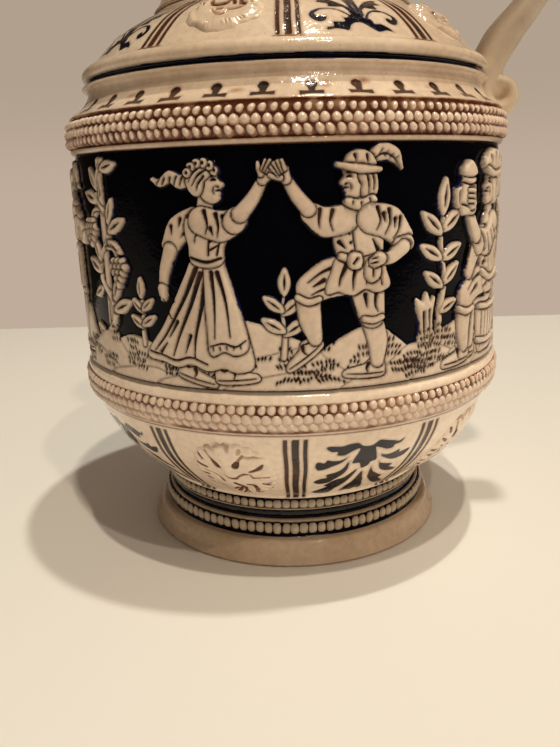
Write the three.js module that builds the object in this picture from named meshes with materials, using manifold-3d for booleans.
// A relief-decorated stoneware jug with a hinged pewter lid, built as the potter and the pewterer
// put it together. Millimetres, +Z up, the handle towards +X, the table at z = 0.
import * as THREE from 'three';
import { mergeVertices } from 'three/addons/utils/BufferGeometryUtils.js';
import Module from 'manifold-3d';

const wasm = await Module();
wasm.setup();

// Fits
const LUTE_GAP = 0.3; // between luted, seated and turned surfaces
const HINGE_PLAY = 0.6; // round the turning knuckles
const FACETS = 40; // round the body, a multiple of the ten panels
const NECK_FACETS = 30; // round the neck and the lid

// Stoneware walls
const DRUM_RADIUS = 88.9; // the widest straight wall, which the belly and the shoulder follow
const DRUM_HEIGHT = 81.2;
const NECK_RADIUS = 48.4; // the neck's plain wall, which the rim, the lid and the dome's top follow
const WALL = 5.5;
const FLOOR_THICKNESS = 7;

// Foot ring
const FOOT_RADIUS = 66.8;
const FOOT_STAND_WIDTH = 8.6; // flat ring that the jug stands on
const FOOT_FLARE_HEIGHT = 11;
const FOOT_COLLAR_RADIUS = 61.8; // where the flare meets the mouldings
const FOOT_MOULDING_HEIGHT = 17.9;
const FOOT_THROAT_RADIUS = 58; // dark hollow between the two bead rows
const FOOT_BEAD_HEIGHT = 1.9;
const FOOT_BEAD_PITCH = 3.8;
const FOOT_BEAD_SEAT = 1.4; // how far a foot bead row's middle lies from its wall
const FOOT_LEDGE = 1.6; // the thin moulding in the throat
const FOOT_EDGE = 0.9;
const RECESS_DEPTH = 18; // from the table to the underside of the floor
const SPIGOT_RADIUS = 50; // the bowl's boss inside the foot ring

// Belly bowl
const WAIST_RADIUS = 61.8;
const BELLY_SET_IN = 0.4; // from the drum's wall, like the steps below
const BELLY_RADIUS = DRUM_RADIUS - BELLY_SET_IN;
const BELLY_HEIGHT = 35.2;

// Bead bands, three rows each
const BAND_ROWS = 3;
const BEAD_ROW_PITCH = 3.35;
const BEAD_HEIGHT = 1.9;
const LOWER_BAND_SWELL = 2.8;
const LOWER_BAND_RADIUS = DRUM_RADIUS + LOWER_BAND_SWELL;
const UPPER_BAND_SWELL = 1.9;
const UPPER_BAND_RADIUS = DRUM_RADIUS + UPPER_BAND_SWELL;
const BAND_FILLET_HEIGHT = 2.4;

// Frieze moulded on the drum, the same half twice round the jug
const FRIEZE_START = -88; // degrees from the front (-Y) where a half begins, counted towards the handle
const FIGURE_RELIEF = 2;
const GROUND_RELIEF = 1.1;
const RELIEF_ROOT = 1; // how deep a relief form reaches into the wall
const RELIEF_TRIM = 0.06; // corners nearer than this to a straight edge are left out

// Shoulder
const CAVETTO_SET_IN = 6.9;
const CAVETTO_RADIUS = DRUM_RADIUS - CAVETTO_SET_IN;
const CAVETTO_HEIGHT = 12;
const ROLL_SET_IN = 6.1;
const ROLL_RADIUS = DRUM_RADIUS - ROLL_SET_IN; // of the roll moulding above the cavetto
const ROLL_HEIGHT = 7;
const DOME_SET_IN = 8.3;
const DOME_RADIUS = DRUM_RADIUS - DOME_SET_IN;
const DOME_HEIGHT = 21.2;
const DOME_TOP_LEDGE = 5.2;
const DOME_TOP_RADIUS = NECK_RADIUS + DOME_TOP_LEDGE;

// Neck
const NECK_FOOT_FLARE = 4.2;
const NECK_FOOT_RADIUS = NECK_RADIUS + NECK_FOOT_FLARE;
const NECK_FOOT_HEIGHT = 8.4;
const NECK_FIELD_HEIGHT = 54;
const NECK_BAND_ROWS = 2;
const NECK_BAND_SWELL = 1;
const NECK_BAND_RADIUS = NECK_RADIUS + NECK_BAND_SWELL;
const RIM_FLARE = 2.6;
const RIM_RADIUS = NECK_RADIUS + RIM_FLARE;
const RIM_HEIGHT = 13;
const LIP_ROUND = 2.2;

// Handle
const HANDLE_WIDTH = 20;
const HANDLE_THICKNESS = 10;
const HANDLE_REACH = 38.6; // from the drum wall to the middle of the strap
const HANDLE_ROOT_SPREAD = 1.3; // how much wider the strap is where it joins the neck
const HANDLE_DROP = 16; // from the rim's top down to the strap's top end
const SCROLL_RADIUS = 9;
const SCROLL_STAND_OFF = 7.5; // from the cavetto wall to the scroll's eye
const SCROLL_EYE_RADIUS = 1.7;
const SCROLL_EYE_DEPTH = 1.6;

// Panels and their lion masks
const PANELS = 10;
const FIRST_MASK_ANGLE = -18; // degrees from the front (-Y), counted towards the handle
const MASK_WIDTH = 30;
const BELLY_MASK_LENGTH = 36; // along the wall, from mane to chin
const SHOULDER_MASK_LENGTH = 26;
const MASK_EDGE = 0.8;
const MASK_RELIEF = 3.2;

// Pewter lid
const LID_OVERHANG = 1.4;
const LID_EDGE_THICKNESS = 2.6;
const LID_WALL = 2;
const LID_FLAT_WIDTH = 10; // from the rim's edge in to the dome's foot
const LID_STEP_RADIUS = RIM_RADIUS - LID_FLAT_WIDTH;
const LID_STEP_FLARE = 1.6; // fillet at the foot of the lid's dome
const LID_DOME_HEIGHT = 22;
const FINIAL_HEIGHT = 22;
const FINIAL_RADIUS = 7.2;

// Hinge, strap and thumb lift
const HINGE_OFFSET = 8.2; // from the rim's edge to the pin
const HINGE_RISE = 3; // from the rim's top to the pin
const KNUCKLE_RADIUS = 4;
const PIN_RADIUS = 1.5;
const PIN_HEAD_RADIUS = 2.5;
const PIN_HEAD_THICKNESS = 0.9;
const KNUCKLE_WIDTH = 3.8;
const TANG_THICKNESS = 2;
const COLLAR_LENGTH = 8;
const COLLAR_THICKNESS = 1.7;
const COLLAR_PLACE = 0.14; // share of the handle's length from its root at the neck
const SHANK_SPREAD = 5.4; // half the shank's foot on the collar
const THUMB_LIFT_HEIGHT = 27;
const THUMB_LIFT_WIDTH = 19;
const THUMB_LIFT_THICKNESS = 3.4;
const THUMB_LIFT_STEM_WIDTH = 6.8;
const THUMB_LIFT_STEM_HEIGHT = 8;
const THUMB_LIFT_SETBACK = 3.2; // from the knuckles to the lift's back

// Colours of the clay, glaze and metal
const cream = new THREE.MeshStandardMaterial({ color: 0xd8c19c, roughness: 0.3, metalness: 0 });
const biscuit = new THREE.MeshStandardMaterial({ color: 0xb9986e, roughness: 0.5, metalness: 0 });
const cobalt = new THREE.MeshStandardMaterial({ color: 0x10142e, roughness: 0.2, metalness: 0 });
const pewter = new THREE.MeshStandardMaterial({ color: 0x8d8e8c, roughness: 0.38, metalness: 1 });

// Levels, from the table up
const footSeatZ = FOOT_FLARE_HEIGHT + FOOT_MOULDING_HEIGHT;
const bowlBottomZ = footSeatZ + LUTE_GAP;
const bellyTopZ = bowlBottomZ + BELLY_HEIGHT;
const beadBandHeight = BAND_ROWS * BEAD_ROW_PITCH;
const lowerBandZ = bellyTopZ + BAND_FILLET_HEIGHT;
const bowlTopZ = lowerBandZ + beadBandHeight + 2 * BAND_FILLET_HEIGHT;
const drumBottomZ = bowlTopZ + LUTE_GAP;
const drumTopZ = drumBottomZ + DRUM_HEIGHT;
const shoulderBottomZ = drumTopZ + LUTE_GAP;
const upperBandZ = shoulderBottomZ + 1.3 * BAND_FILLET_HEIGHT;
const cavettoZ = upperBandZ + beadBandHeight;
const rollZ = cavettoZ + CAVETTO_HEIGHT;
const domeZ = rollZ + ROLL_HEIGHT;
const shoulderTopZ = domeZ + DOME_HEIGHT;
const neckBottomZ = shoulderTopZ + LUTE_GAP;
const neckLowerBandZ = neckBottomZ + NECK_FOOT_HEIGHT;
const neckBandHeight = NECK_BAND_ROWS * BEAD_ROW_PITCH;
const neckFieldZ = neckLowerBandZ + neckBandHeight;
const neckUpperBandZ = neckFieldZ + NECK_FIELD_HEIGHT;
const rimZ = neckUpperBandZ + neckBandHeight;
const mouthZ = rimZ + RIM_HEIGHT;
const hingeX = RIM_RADIUS + HINGE_OFFSET;
const hingeZ = mouthZ + HINGE_RISE;
const lidRadius = RIM_RADIUS + LID_OVERHANG;
const lidBottomZ = mouthZ + LUTE_GAP;
const lidRingTopZ = lidBottomZ + LID_EDGE_THICKNESS;

const jug = new THREE.Group();

// Closed geometry with merged corners and its faces pointing out
function closedGeometry(source) {
  const bare = source.clone();
  bare.deleteAttribute('normal');
  bare.deleteAttribute('uv');
  const merged = mergeVertices(bare, 1e-4);
  const at = merged.attributes.position;
  const kept = [];
  let volume = 0;
  const a = new THREE.Vector3();
  const b = new THREE.Vector3();
  const c = new THREE.Vector3();
  for (let i = 0; i < merged.index.count; i += 3) {
    const corners = [0, 1, 2].map((k) => merged.index.getX(i + k));
    if (new Set(corners).size < 3) continue;
    a.fromBufferAttribute(at, corners[0]);
    b.fromBufferAttribute(at, corners[1]);
    c.fromBufferAttribute(at, corners[2]);
    volume += a.dot(b.cross(c));
    kept.push(corners);
  }
  const faces = volume < 0 ? kept.map(([i, j, k]) => [i, k, j]) : kept;
  merged.setIndex(faces.flat());
  return merged;
}

function solidOf(source) {
  const geometry = closedGeometry(source);
  const mesh = new wasm.Mesh({
    numProp: 3,
    vertProperties: new Float32Array(geometry.attributes.position.array),
    triVerts: new Uint32Array(geometry.index.array),
  });
  return new wasm.Manifold(mesh);
}

function geometryOf(solid) {
  const mesh = solid.getMesh();
  const geometry = new THREE.BufferGeometry();
  const places = [];
  for (let i = 0; i < mesh.vertProperties.length; i += mesh.numProp) {
    places.push(...mesh.vertProperties.subarray(i, i + 3));
  }
  geometry.setAttribute('position', new THREE.Float32BufferAttribute(places, 3));
  geometry.setIndex(Array.from(mesh.triVerts));
  return geometry;
}

function addPiece(name, geometry, material) {
  const shaped = closedGeometry(geometry);
  shaped.computeVertexNormals();
  const mesh = new THREE.Mesh(shaped, material);
  mesh.name = name;
  jug.add(mesh);
  return mesh;
}

// A turned form from an outline of [radius, height] points round the jug's axis
function turned(outline, facets = FACETS) {
  const points = outline.map(([radius, height]) => new THREE.Vector2(radius, height));
  return new THREE.LatheGeometry(points, facets).rotateX(Math.PI / 2);
}

function ringOutline(outer, inner) {
  return [...outer, ...inner, outer[0]];
}

// Half-round rings, one for each bead row, from lowZ up
function beadRows(radius, lowZ, rows, pitch = BEAD_ROW_PITCH, height = BEAD_HEIGHT) {
  const valley = radius - 0.3 * height;
  const outline = [[valley, lowZ]];
  for (let row = 0; row < rows; row += 1) {
    for (const [share, swell] of [[0.5, 1], [1, 0]]) {
      outline.push([valley + swell * height, lowZ + (row + share) * pitch]);
    }
  }
  return outline;
}

function curvePoints(curve, steps) {
  return curve.getSpacedPoints(steps).map((point) => [point.x, point.y]);
}

// The same curve moved square to itself, inwards for a positive wall
function insidePoints(curve, steps, wall) {
  const points = [];
  for (let i = 0; i <= steps; i += 1) {
    const at = curve.getPointAt(i / steps);
    const along = curve.getTangentAt(i / steps);
    points.push([at.x - along.y * wall, at.y + along.x * wall]);
  }
  return points;
}

// A bowl or dome line between two [radius, height] ends, shaped by two pulls given as shares
function wallCurve(low, high, firstPull, secondPull) {
  const share = ([u, v]) =>
    new THREE.Vector2(low[0] + u * (high[0] - low[0]), low[1] + v * (high[1] - low[1]));
  return new THREE.CubicBezierCurve(share([0, 0]), share(firstPull), share(secondPull), share([1, 1]));
}

const bellyCurve = wallCurve(
  [WAIST_RADIUS, bowlBottomZ], [BELLY_RADIUS, bellyTopZ], [0.33, 0.18], [0.87, 0.63]);
const domeCurve = wallCurve(
  [DOME_RADIUS, domeZ], [DOME_TOP_RADIUS, shoulderTopZ - 1.6], [0.22, 0.32], [0.6, 0.77]);

// Foot ring: a plain flared foot under two bead rows with a dark throat between them
function footRing() {
  const lowRow = FOOT_FLARE_HEIGHT + 0.5 * FOOT_LEDGE;
  const highRow = footSeatZ - 0.75 * FOOT_LEDGE - FOOT_BEAD_PITCH;
  const ledge = lowRow + FOOT_BEAD_PITCH + FOOT_LEDGE;
  const outer = [
    [FOOT_RADIUS - 0.3, 0],
    [FOOT_RADIUS, FOOT_EDGE],
    [FOOT_RADIUS - 0.8, 0.2 * FOOT_FLARE_HEIGHT],
    [FOOT_COLLAR_RADIUS + 2, 0.45 * FOOT_FLARE_HEIGHT],
    [FOOT_COLLAR_RADIUS + 0.6, 0.72 * FOOT_FLARE_HEIGHT],
    [FOOT_COLLAR_RADIUS, FOOT_FLARE_HEIGHT],
    ...beadRows(FOOT_COLLAR_RADIUS - FOOT_BEAD_SEAT, lowRow, 1, FOOT_BEAD_PITCH, FOOT_BEAD_HEIGHT),
    [FOOT_THROAT_RADIUS + 0.6 * FOOT_LEDGE, ledge],
    [FOOT_THROAT_RADIUS + FOOT_LEDGE, ledge + 0.25 * FOOT_LEDGE],
    [FOOT_THROAT_RADIUS + FOOT_LEDGE, ledge + 0.95 * FOOT_LEDGE],
    [FOOT_THROAT_RADIUS, ledge + 1.25 * FOOT_LEDGE],
    [FOOT_THROAT_RADIUS, highRow - 0.4 * FOOT_LEDGE],
    ...beadRows(FOOT_THROAT_RADIUS + FOOT_BEAD_SEAT, highRow, 1, FOOT_BEAD_PITCH, FOOT_BEAD_HEIGHT),
    [WAIST_RADIUS - 0.6, footSeatZ],
  ];
  const boreRadius = SPIGOT_RADIUS + LUTE_GAP;
  const inner = [
    [boreRadius, footSeatZ],
    [boreRadius, RECESS_DEPTH - 4],
    [FOOT_RADIUS - FOOT_STAND_WIDTH - 3, 3],
    [FOOT_RADIUS - FOOT_STAND_WIDTH, 0],
  ];
  addPiece('foot_ring', turned(ringOutline(outer, inner)), biscuit);
}

// Belly bowl: floor, paneled belly and the lower bead band
function bellyBowl() {
  const floorZ = RECESS_DEPTH + FLOOR_THICKNESS;
  const insideRadius = DRUM_RADIUS - WALL;
  const belly = curvePoints(bellyCurve, 5);
  const outer = [
    [0, RECESS_DEPTH],
    [SPIGOT_RADIUS, RECESS_DEPTH],
    [SPIGOT_RADIUS, bowlBottomZ],
    ...belly,
    [BELLY_RADIUS + 1.3, bellyTopZ + 0.4],
    [LOWER_BAND_RADIUS - 1, lowerBandZ],
    ...beadRows(LOWER_BAND_RADIUS, lowerBandZ, BAND_ROWS),
    [LOWER_BAND_RADIUS, bowlTopZ - 1.4 * BAND_FILLET_HEIGHT],
    [LOWER_BAND_RADIUS - 0.2, bowlTopZ - 0.6 * BAND_FILLET_HEIGHT],
    [DRUM_RADIUS, bowlTopZ],
  ];
  const inner = [
    [insideRadius, bowlTopZ],
    [insideRadius, lowerBandZ],
    ...insidePoints(bellyCurve, 3, WALL).reverse().slice(1),
    [SPIGOT_RADIUS, floorZ + 2],
    [SPIGOT_RADIUS - 6, floorZ],
    [0, floorZ],
  ];
  addPiece('belly_bowl', turned([...outer, ...inner]), cream);
}

// The frieze's main forms, as [along, up] points from the left end and the foot of a half, each
// outline going round against the clock; the sizes are those of the drum they were drawn for
const FRIEZE_DRAWN_RADIUS = 88.9;
const FRIEZE_DRAWN_HEIGHT = 81.2;
const piper = [
  [9, 5], [15, 7], [19.5, 27], [24.5, 7], [38, 5], [29.5, 9], [30, 29], [26, 50], [36, 52], [44, 50],
  [38, 61], [25.5, 68], [24, 75.5], [18, 77.5], [6, 75.5], [4, 72], [15, 66], [9.5, 59], [12, 48],
  [7, 29], [10.5, 26],
];
const climbingVine = [
  [56, 9], [62, 10], [65, 25], [74, 28], [66, 32], [73, 42], [65, 46], [73, 57], [65, 62], [62, 72],
  [71, 77], [60, 79], [58, 67], [48, 67.5], [57, 60], [47, 54], [57, 44], [46.5, 43], [56, 37], [62, 27],
];
const dancingPair = [
  [82.5, 11], [107, 2], [125, 4.5], [114.5, 42], [115, 52], [122, 57], [132, 70], [141, 58], [152, 53],
  [153, 46], [139.5, 39], [141.5, 16], [135, 7], [146.5, 16], [146, 30], [158, 33], [165, 8], [155, 4],
  [170, 4], [168, 22], [169, 43], [178.5, 50], [171, 61], [165, 62], [166, 72], [175.5, 73.5],
  [168, 80.5], [152, 76], [156, 62.5], [145, 62], [135, 77.5], [127, 77.5], [127, 71], [119, 61.5],
  [112, 62.5], [115, 70], [110, 78], [102, 72], [89, 73], [106, 66], [107, 62], [97, 60], [90, 31],
  [93, 31], [98, 49], [103.5, 52], [103, 44],
];
const sapling = [
  [192, 10], [195, 12], [195.5, 28], [202, 33], [196, 35], [203, 41.5], [196, 43], [202, 51], [194.5, 61],
  [185, 51], [192.5, 43], [185, 41], [193, 34], [187, 31],
];
const drinkerOnBarrel = [
  [195, 2.5], [238, 5], [238.5, 22], [235.5, 28], [236, 52], [230.5, 58], [233.5, 70], [236, 75], [229, 80],
  [219, 76], [221, 64], [225.5, 58], [217, 51.5], [212, 58], [211.5, 71], [207.5, 76], [199.5, 65.5],
  [203, 58.5], [208, 57], [213, 46], [209, 35], [204.5, 29], [203.5, 22], [205, 7],
];
const wheatSheaf = [[262, 14], [269.5, 14], [267, 24], [278.5, 49], [265, 53], [252, 49], [264, 24]];
const hillyGround = [
  [0, 0], [279.3, 0], [279.3, 11], [266, 15.5], [252, 14.5], [238, 8], [204, 13], [180, 10], [162, 15],
  [147, 10.5], [124, 17], [106, 9], [76, 12.5], [62, 10.5], [46, 11], [36, 17], [16, 13.5], [0, 11],
];

// One form on the drum: cut at the drum's facet edges and folded over them, so that it lies flat on each
function reliefOnDrum(outline, rise) {
  const facetAngle = 360 / FACETS;
  const across = (along) =>
    (FRIEZE_START + THREE.MathUtils.radToDeg(along / FRIEZE_DRAWN_RADIUS)) / facetAngle;
  const up = (height) => (height / FRIEZE_DRAWN_HEIGHT) * DRUM_HEIGHT;
  const drawn = outline.map(([along, height]) => [across(along), up(height)]);
  const plate = wasm.Manifold.extrude([drawn], RELIEF_ROOT + rise);
  const first = Math.floor(Math.min(...drawn.map(([x]) => x)));
  const last = Math.ceil(Math.max(...drawn.map(([x]) => x)));
  const slabs = [];
  for (let facet = first; facet < last; facet += 1) {
    const slot = wasm.Manifold.cube([1, 2 * DRUM_HEIGHT, 2 * (RELIEF_ROOT + rise)])
      .translate([facet, -DRUM_HEIGHT / 2, -RELIEF_ROOT]);
    slabs.push(plate.intersect(slot));
  }
  const onFacets = (place) => {
    const facet = Math.floor(place[0] + 1e-6);
    const share = place[0] - facet;
    const radius = DRUM_RADIUS - RELIEF_ROOT + place[2];
    const corner = (k) => {
      const turn = THREE.MathUtils.degToRad(k * facetAngle);
      return [radius * Math.sin(turn), -radius * Math.cos(turn)];
    };
    const [lowX, lowY] = corner(facet);
    const [highX, highY] = corner(facet + 1);
    place[2] = drumBottomZ + place[1];
    place[0] = lowX + share * (highX - lowX);
    place[1] = lowY + share * (highY - lowY);
  };
  return wasm.Manifold.union(slabs.map((slab) => slab.warp(onFacets)));
}

// Frieze drum: the straight wall with the moulded frieze, twice round
function friezeDrum() {
  const outer = [[DRUM_RADIUS, drumBottomZ], [DRUM_RADIUS, drumTopZ]];
  const inner = [[DRUM_RADIUS - WALL, drumTopZ], [DRUM_RADIUS - WALL, drumBottomZ]];
  const figures = [piper, climbingVine, dancingPair, sapling, drinkerOnBarrel, wheatSheaf];
  const half = wasm.Manifold.union([
    ...figures.map((outline) => reliefOnDrum(outline, FIGURE_RELIEF)),
    reliefOnDrum(hillyGround, GROUND_RELIEF),
  ]);
  const wall = solidOf(turned(ringOutline(outer, inner)));
  const whole = wall.add(half).add(half.rotate([0, 0, 180]));
  addPiece('frieze_drum', geometryOf(whole.asOriginal().simplify(RELIEF_TRIM)), cobalt);
}

// Outer line of the shoulder: upper bead band, cavetto, roll and paneled dome
function shoulderOutline() {
  const cavetto = new THREE.QuadraticBezierCurve(
    new THREE.Vector2(UPPER_BAND_RADIUS - 0.4, cavettoZ + 0.3),
    new THREE.Vector2(CAVETTO_RADIUS + 1.2, cavettoZ + 0.34 * CAVETTO_HEIGHT),
    new THREE.Vector2(CAVETTO_RADIUS, rollZ - 1.6));
  const roll = [];
  for (let i = 0; i <= 3; i += 1) {
    const turn = (i / 3 - 0.5) * Math.PI * 0.86;
    const swell = 3 * Math.cos(turn);
    roll.push([ROLL_RADIUS - 3 + swell, rollZ + ROLL_HEIGHT * (0.5 + 0.48 * Math.sin(turn))]);
  }
  return [
    [DRUM_RADIUS, shoulderBottomZ],
    [UPPER_BAND_RADIUS + 0.3, shoulderBottomZ + 0.6 * BAND_FILLET_HEIGHT],
    [UPPER_BAND_RADIUS + 0.3, upperBandZ - 0.3],
    ...beadRows(UPPER_BAND_RADIUS, upperBandZ, BAND_ROWS),
    ...curvePoints(cavetto, 3),
    ...roll,
    ...curvePoints(domeCurve, 4),
    [DOME_TOP_RADIUS - 1, shoulderTopZ],
  ];
}

function shoulder() {
  const outer = shoulderOutline();
  const insideRadius = DRUM_RADIUS - WALL;
  const inner = [
    [NECK_RADIUS - WALL, shoulderTopZ],
    ...insidePoints(domeCurve, 2, WALL).reverse(),
    [insideRadius, cavettoZ],
    [insideRadius, shoulderBottomZ],
  ];
  addPiece('shoulder', turned(ringOutline(outer, inner)), cream);
}

// Outer line of the neck: flared foot, bead band, plain field, bead band, flared rim
function neckOutline() {
  return [
    [NECK_FOOT_RADIUS, neckBottomZ],
    [NECK_FOOT_RADIUS, neckBottomZ + 0.12 * NECK_FOOT_HEIGHT],
    [NECK_RADIUS + 1.4, neckBottomZ + 0.5 * NECK_FOOT_HEIGHT],
    [NECK_RADIUS, neckBottomZ + 0.9 * NECK_FOOT_HEIGHT],
    ...beadRows(NECK_BAND_RADIUS, neckLowerBandZ, NECK_BAND_ROWS),
    [NECK_RADIUS, neckFieldZ + 0.5],
    [NECK_RADIUS, neckUpperBandZ - 0.5],
    ...beadRows(NECK_BAND_RADIUS, neckUpperBandZ, NECK_BAND_ROWS),
    [NECK_RADIUS, rimZ + 0.4],
    [NECK_RADIUS + 0.3, rimZ + 0.35 * RIM_HEIGHT],
    [RIM_RADIUS, mouthZ - 2 * LIP_ROUND],
    [RIM_RADIUS, mouthZ - 0.6 * LIP_ROUND],
    [RIM_RADIUS - 0.6 * LIP_ROUND, mouthZ],
  ];
}

function neck() {
  const boreRadius = NECK_RADIUS - WALL;
  const inner = [
    [boreRadius + 1.2, mouthZ],
    [boreRadius, mouthZ - LIP_ROUND],
    [boreRadius, neckBottomZ],
  ];
  addPiece('neck', turned(ringOutline(neckOutline(), inner), NECK_FACETS), cream);
}

// The handle's middle line, from inside the neck wall down to the cavetto
const handleTopZ = mouthZ - HANDLE_DROP;
const handleFarX = DRUM_RADIUS + HANDLE_REACH - HANDLE_THICKNESS / 2;
const scrollX = CAVETTO_RADIUS + SCROLL_STAND_OFF;
const scrollZ = cavettoZ + 0.55 * CAVETTO_HEIGHT;
const handleSpanZ = handleTopZ - scrollZ;
const handleLine = new THREE.CatmullRomCurve3([
  [NECK_RADIUS, -0.3, 0.945],
  [NECK_RADIUS, 0.75, 0.985],
  [NECK_RADIUS, 2.2, 1],
  [handleFarX, -2.35, 0.985],
  [handleFarX, -0.9, 0.905],
  [handleFarX, -0.12, 0.78],
  [handleFarX, 0, 0.66],
  [handleFarX, -0.5, 0.52],
  [handleFarX, -1.35, 0.41],
  [scrollX, 1.02, 0.315],
  [scrollX, 0.3, 0.23],
  [scrollX, -0.26, 0.13],
  [scrollX, -0.34, 0.05],
  [scrollX, -0.14, -0.015],
].map(([fromX, thicknesses, share]) => new THREE.Vector3(
  fromX + thicknesses * HANDLE_THICKNESS, 0, scrollZ + share * handleSpanZ)));

// A band of the given section swept along part of the handle's line
function sweptBand(from, to, steps, grow, sides) {
  const places = [];
  const faces = [];
  for (let i = 0; i <= steps; i += 1) {
    const share = from + (to - from) * (i / steps);
    const at = handleLine.getPointAt(share);
    const along = handleLine.getTangentAt(share);
    const spread = 1 + (HANDLE_ROOT_SPREAD - 1) * Math.max(0, 1 - share / 0.1);
    for (let j = 0; j < sides; j += 1) {
      const turn = (j + 0.5) / sides * 2 * Math.PI;
      const round = (value) => Math.sign(value) * Math.abs(value) ** 0.8;
      const across = round(Math.cos(turn)) * (HANDLE_WIDTH / 2 * spread + grow);
      const out = round(Math.sin(turn)) * (HANDLE_THICKNESS / 2 * spread + grow);
      places.push(at.x + along.z * out, across, at.z - along.x * out);
    }
  }
  for (let i = 0; i < steps; i += 1) {
    for (let j = 0; j < sides; j += 1) {
      const a = i * sides + j;
      const b = i * sides + (j + 1) % sides;
      faces.push(a, b, b + sides, a, b + sides, a + sides);
    }
  }
  for (let j = 1; j < sides - 1; j += 1) {
    const last = steps * sides;
    faces.push(0, j + 1, j, last, last + j, last + j + 1);
  }
  const geometry = new THREE.BufferGeometry();
  geometry.setAttribute('position', new THREE.Float32BufferAttribute(places, 3));
  geometry.setIndex(faces);
  return geometry;
}

// A round bar along Y with an outline of [radius, y] points, centred at x, z
function barAlongY(outline, x, z, facets) {
  const points = outline.map(([radius, y]) => new THREE.Vector2(radius, y));
  return new THREE.LatheGeometry(points, facets).translate(x, 0, z);
}

function plainBar(radius, fromY, toY, x, z, facets) {
  return barAlongY([[0, fromY], [radius, fromY], [radius, toY], [0, toY]], x, z, facets);
}

// What a piece leaves free round a turned wall: the wall's outline grown by the lute gap
function wallWithGap(outline, facets) {
  const last = outline.length - 1;
  const grown = outline.map(([radius, height]) => [radius + LUTE_GAP, height]);
  return solidOf(turned([
    [0, outline[0][1] - 3],
    [grown[0][0], outline[0][1] - 3],
    ...grown,
    [grown[last][0], outline[last][1] + 3],
    [0, outline[last][1] + 3],
  ], facets));
}

// Handle: an oval strap that leaves the neck under the rim and ends in a rolled scroll on the shoulder
function handle() {
  const half = HANDLE_WIDTH / 2;
  const scroll = barAlongY([
    [0, -half + SCROLL_EYE_DEPTH],
    [SCROLL_EYE_RADIUS, -half + SCROLL_EYE_DEPTH],
    [SCROLL_EYE_RADIUS + 1, -half],
    [SCROLL_RADIUS - 2.6, -half],
    [SCROLL_RADIUS, -half + 3],
    [SCROLL_RADIUS, half - 3],
    [SCROLL_RADIUS - 2.6, half],
    [SCROLL_EYE_RADIUS + 1, half],
    [SCROLL_EYE_RADIUS, half - SCROLL_EYE_DEPTH],
    [0, half - SCROLL_EYE_DEPTH],
  ], scrollX, scrollZ, 16);
  const strap = solidOf(sweptBand(0, 1, 24, 0, 10));
  const whole = strap.add(solidOf(scroll));
  const shoulderSeat = wallWithGap(shoulderOutline(), FACETS);
  const neckSeat = wallWithGap(neckOutline(), NECK_FACETS);
  const seated = whole.subtract(shoulderSeat).subtract(neckSeat);
  addPiece('handle', geometryOf(seated), biscuit);
}

// Relief of a lion mask over its pad: x and y run from -1 to 1 across it and from chin to mane
function maskRelief(x, y) {
  const bump = (cx, cy, wide, tall) =>
    Math.exp(-(((x - cx) / wide) ** 2) - ((y - cy) / tall) ** 2);
  const forehead = bump(0, 0.4, 0.42, 0.34);
  const nose = 0.9 * bump(0, 0, 0.16, 0.4);
  const muzzle = 0.85 * bump(0, -0.42, 0.4, 0.24);
  const cheeks = 0.5 * (bump(-0.5, 0, 0.24, 0.34) + bump(0.5, 0, 0.24, 0.34));
  return MASK_EDGE + MASK_RELIEF * Math.min(1, forehead + nose + muzzle + cheeks);
}

// A closed pad laid on a turned wall at a panel's middle, following the wall and carrying the mask
function maskOnWall(curve, angle, maskLength) {
  const spokes = 12;
  const middle = curve.getPointAt(0.5);
  const onWall = (x, y, lift) => {
    const share = 0.5 + (y * maskLength) / 2 / curve.getLength();
    const at = curve.getPointAt(share);
    const along = curve.getTangentAt(share);
    const radius = at.x + along.y * lift;
    const turn = angle + (x * MASK_WIDTH) / 2 / middle.x;
    return [radius * Math.sin(turn), -radius * Math.cos(turn), at.y - along.x * lift];
  };
  const places = [];
  const addRings = (rings, liftAt) => {
    places.push(...onWall(0, 0, liftAt(0, 0)));
    for (const ring of rings) {
      for (let j = 0; j < spokes; j += 1) {
        const turn = (j / spokes) * 2 * Math.PI;
        const x = Math.cos(turn);
        const y = Math.sin(turn);
        const reach = ring / (Math.abs(x) ** 2.5 + Math.abs(y) ** 2.5) ** 0.4;
        places.push(...onWall(x * reach, y * reach, liftAt(x * reach, y * reach)));
      }
    }
  };
  const frontRings = [0.36, 0.68, 1];
  const backRings = [0.5, 1];
  addRings(frontRings, (x, y) => LUTE_GAP + maskRelief(x, y));
  addRings(backRings, () => LUTE_GAP);
  const faces = [];
  const addFan = (base, ringCount, flip) => {
    const add = (a, b, c) => faces.push(...(flip ? [a, c, b] : [a, b, c]).map((k) => base + k));
    for (let j = 0; j < spokes; j += 1) {
      const next = (j + 1) % spokes;
      add(0, 1 + j, 1 + next);
      for (let ring = 1; ring < ringCount; ring += 1) {
        const low = 1 + (ring - 1) * spokes;
        const high = low + spokes;
        add(low + j, high + j, high + next);
        add(low + j, high + next, low + next);
      }
    }
  };
  const back = 1 + frontRings.length * spokes;
  addFan(0, frontRings.length, false);
  addFan(back, backRings.length, true);
  const frontRim = back - spokes;
  const backRim = back + 1 + (backRings.length - 1) * spokes;
  for (let j = 0; j < spokes; j += 1) {
    const next = (j + 1) % spokes;
    faces.push(frontRim + j, backRim + j, backRim + next);
    faces.push(frontRim + j, backRim + next, frontRim + next);
  }
  const geometry = new THREE.BufferGeometry();
  geometry.setAttribute('position', new THREE.Float32BufferAttribute(places, 3));
  geometry.setIndex(faces);
  return geometry;
}

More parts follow.
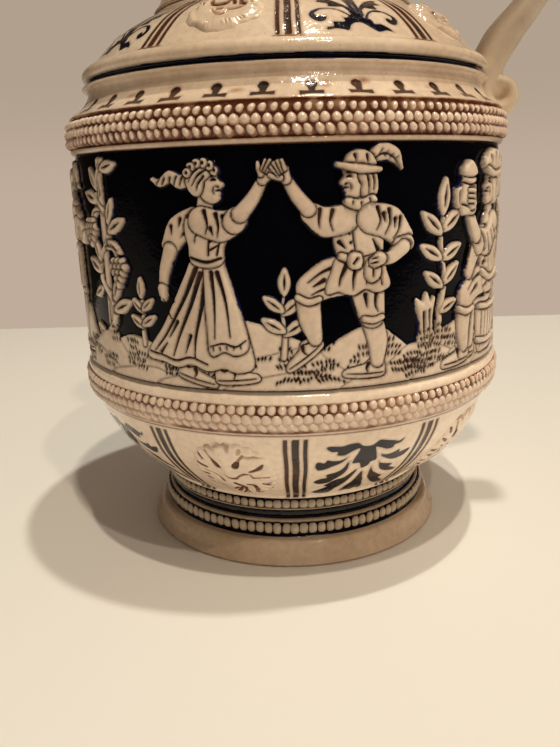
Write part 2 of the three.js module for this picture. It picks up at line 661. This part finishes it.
function lionMasks() {
  const step = (2 * 360) / PANELS;
  for (let i = 0; i < PANELS / 2; i += 1) {
    const angle = THREE.MathUtils.degToRad(FIRST_MASK_ANGLE + i * step);
    addPiece(`belly_mask_${i + 1}`, maskOnWall(bellyCurve, angle, BELLY_MASK_LENGTH), cream);
    addPiece(`shoulder_mask_${i + 1}`, maskOnWall(domeCurve, angle, SHOULDER_MASK_LENGTH), cream);
  }
}

// Knuckle spans across the hinge: three on the strap, two on the lid between them
function knuckleSpans(places) {
  const step = KNUCKLE_WIDTH + LUTE_GAP;
  return places.map((place) => [place * step - KNUCKLE_WIDTH / 2, place * step + KNUCKLE_WIDTH / 2]);
}
const strapKnuckles = knuckleSpans([-2, 0, 2]);
const lidKnuckles = knuckleSpans([-1, 1]);
const hingeHalfWidth = strapKnuckles[2][1];

// A flat outline in the XZ plane, given about the pin, made into a plate centred on Y
function plateAboutPin(draw, width) {
  const shape = new THREE.Shape();
  draw(shape);
  const plate = new THREE.ExtrudeGeometry(shape, { depth: width, bevelEnabled: false, curveSegments: 5 });
  return plate.rotateX(Math.PI / 2).translate(hingeX, width / 2, hingeZ);
}

function withKnuckles(plate, own, other) {
  let solid = plate;
  for (const [fromY, toY] of other) {
    solid = solid.subtract(solidOf(plainBar(
      KNUCKLE_RADIUS + HINGE_PLAY, fromY - LUTE_GAP, toY + LUTE_GAP, hingeX, hingeZ, 16)));
  }
  for (const [fromY, toY] of own) {
    solid = solid.add(solidOf(plainBar(KNUCKLE_RADIUS, fromY, toY, hingeX, hingeZ, 16)));
  }
  return solid.subtract(solidOf(plainBar(
    PIN_RADIUS + LUTE_GAP, -hingeHalfWidth - 2, hingeHalfWidth + 2, hingeX, hingeZ, 12)));
}

// Strap: a pewter collar cast round the handle, with a shank up to the three outer knuckles
function hingeStrap() {
  const length = handleLine.getLength();
  const half = COLLAR_LENGTH / 2 / length;
  const clear = COLLAR_THICKNESS + LUTE_GAP;
  const outside = solidOf(sweptBand(COLLAR_PLACE - half, COLLAR_PLACE + half, 2, clear, 10));
  const inside = solidOf(sweptBand(COLLAR_PLACE - 2 * half, COLLAR_PLACE + 2 * half, 4, LUTE_GAP, 10));
  const at = handleLine.getPointAt(COLLAR_PLACE);
  const footX = at.x - hingeX;
  const footZ = at.z + HANDLE_THICKNESS / 2 + LUTE_GAP - hingeZ;
  const shank = plateAboutPin((shape) => {
    shape.moveTo(-3, -1.6);
    shape.quadraticCurveTo(-2.4, 0.6 * footZ, footX - SHANK_SPREAD, footZ + 0.4 * COLLAR_THICKNESS);
    shape.lineTo(footX + SHANK_SPREAD, footZ + 0.4 * COLLAR_THICKNESS);
    shape.quadraticCurveTo(footX - 2, footZ + 4.4, 3, -1.4);
    shape.lineTo(0, 0);
  }, 2 * hingeHalfWidth);
  const cast = outside.add(withKnuckles(solidOf(shank), strapKnuckles, lidKnuckles)).subtract(inside);
  addPiece('hinge_strap', geometryOf(cast), pewter);
}

function hingePin() {
  const end = hingeHalfWidth + LUTE_GAP;
  const shank = [[PIN_RADIUS, -end], [PIN_RADIUS, end]];
  const headed = [
    [0, -end - PIN_HEAD_THICKNESS],
    [0.7 * PIN_HEAD_RADIUS, -end - PIN_HEAD_THICKNESS],
    [PIN_HEAD_RADIUS, -end],
    ...shank,
    [PIN_HEAD_RADIUS, end],
    [0.7 * PIN_HEAD_RADIUS, end + PIN_HEAD_THICKNESS],
    [0, end + PIN_HEAD_THICKNESS],
  ];
  addPiece('hinge_pin', barAlongY(headed, hingeX, hingeZ, 12), pewter);
}

// Lid: a thin turned cap with a flat rim ring and a stepped dome
function lid() {
  const topZ = lidRingTopZ + LID_DOME_HEIGHT;
  const outer = [
    [lidRadius - 0.6, lidBottomZ],
    [lidRadius, lidBottomZ + 0.3 * LID_EDGE_THICKNESS],
    [lidRadius, lidBottomZ + 0.7 * LID_EDGE_THICKNESS],
    [lidRadius - 0.8, lidRingTopZ],
    [LID_STEP_RADIUS + LID_STEP_FLARE, lidRingTopZ],
    [LID_STEP_RADIUS, lidRingTopZ + 2.4],
    [LID_STEP_RADIUS - 1.4, lidRingTopZ + 0.36 * LID_DOME_HEIGHT],
    [0.8 * LID_STEP_RADIUS, lidRingTopZ + 0.58 * LID_DOME_HEIGHT],
    [0.55 * LID_STEP_RADIUS, lidRingTopZ + 0.79 * LID_DOME_HEIGHT],
    [0.3 * LID_STEP_RADIUS, topZ - 1.2],
    [FINIAL_RADIUS - 1.6, topZ],
    [0, topZ],
  ];
  const inner = [
    [0, topZ - LID_WALL],
    [0.55 * LID_STEP_RADIUS - 0.6, lidRingTopZ + 0.79 * LID_DOME_HEIGHT - LID_WALL],
    [0.8 * LID_STEP_RADIUS - 1.2, lidRingTopZ + 0.58 * LID_DOME_HEIGHT - LID_WALL],
    [LID_STEP_RADIUS - 1.4 - LID_WALL, lidRingTopZ + 0.3 * LID_DOME_HEIGHT],
    [LID_STEP_RADIUS - LID_WALL, lidBottomZ],
  ];
  addPiece('lid', turned([...outer, ...inner, outer[0]], NECK_FACETS), pewter);
  return topZ;
}

function finial(seatZ) {
  const lowZ = seatZ + LUTE_GAP;
  const outline = [
    [0, 0],
    [0.78, 0],
    [0.78, 0.06],
    [0.42, 0.14],
    [0.3, 0.28],
    [0.42, 0.34],
    [0.86, 0.46],
    [1, 0.6],
    [0.86, 0.76],
    [0.42, 0.88],
    [0.26, 0.93],
    [0.2, 0.985],
    [0, 1],
  ].map(([across, up]) => [across * FINIAL_RADIUS, lowZ + up * FINIAL_HEIGHT]);
  addPiece('finial', turned(outline, 12), pewter);
}

// Tang: the tongue that carries the lid from its two knuckles, laid on the lid's rim ring
function lidTang() {
  const lowZ = lidRingTopZ + LUTE_GAP - hingeZ;
  const topZ = lowZ + TANG_THICKNESS;
  const tip = LID_STEP_RADIUS + LID_STEP_FLARE + LUTE_GAP - hingeX;
  const tongue = plateAboutPin((shape) => {
    shape.moveTo(0, 0);
    shape.lineTo(-KNUCKLE_RADIUS + 0.6, lowZ);
    shape.lineTo(tip, lowZ);
    shape.lineTo(tip, topZ);
    shape.lineTo(-KNUCKLE_RADIUS - THUMB_LIFT_SETBACK + 0.4, topZ);
    shape.quadraticCurveTo(-3, topZ, -1.2, KNUCKLE_RADIUS - 0.4);
  }, lidKnuckles[1][1] - lidKnuckles[0][0]);
  addPiece('lid_tang', geometryOf(withKnuckles(solidOf(tongue), lidKnuckles, strapKnuckles)), pewter);
  return topZ;
}

// Thumb lift: a fan-shaped plate that stands on the tang, leaning a little to the handle
function thumbLift(tangTopZ) {
  const lowZ = hingeZ + tangTopZ + LUTE_GAP;
  const half = THUMB_LIFT_WIDTH / 2;
  const stem = THUMB_LIFT_STEM_WIDTH / 2;
  const waist = 0.76 * stem;
  const neckZ = THUMB_LIFT_STEM_HEIGHT;
  const widestZ = 0.68 * THUMB_LIFT_HEIGHT;
  const shape = new THREE.Shape();
  shape.moveTo(-stem, 0);
  shape.lineTo(stem, 0);
  shape.quadraticCurveTo(waist, 0.6 * neckZ, 1.06 * stem, neckZ);
  shape.quadraticCurveTo(half, 1.4 * neckZ, half, widestZ);
  shape.quadraticCurveTo(0.9 * half, THUMB_LIFT_HEIGHT, 0, THUMB_LIFT_HEIGHT);
  shape.quadraticCurveTo(-0.9 * half, THUMB_LIFT_HEIGHT, -half, widestZ);
  shape.quadraticCurveTo(-half, 1.4 * neckZ, -1.06 * stem, neckZ);
  shape.quadraticCurveTo(-waist, 0.6 * neckZ, -stem, 0);
  const fan = new THREE.ExtrudeGeometry(shape, {
    depth: THUMB_LIFT_THICKNESS, bevelEnabled: false, curveSegments: 5,
  });
  const backX = hingeX - KNUCKLE_RADIUS - THUMB_LIFT_SETBACK;
  const upright = fan.rotateX(Math.PI / 2).rotateZ(Math.PI / 2);
  addPiece('thumb_lift', upright.translate(backX - THUMB_LIFT_THICKNESS, 0, lowZ), pewter);
}

footRing();
bellyBowl();
friezeDrum();
shoulder();
neck();
handle();
lionMasks();
hingeStrap();
hingePin();
finial(lid());
thumbLift(lidTang());

// The origin is the middle of the footprint of the whole jug, handle included
const box = new THREE.Box3().setFromObject(jug);
jug.position.x = -(box.min.x + box.max.x) / 2;

export default jug;
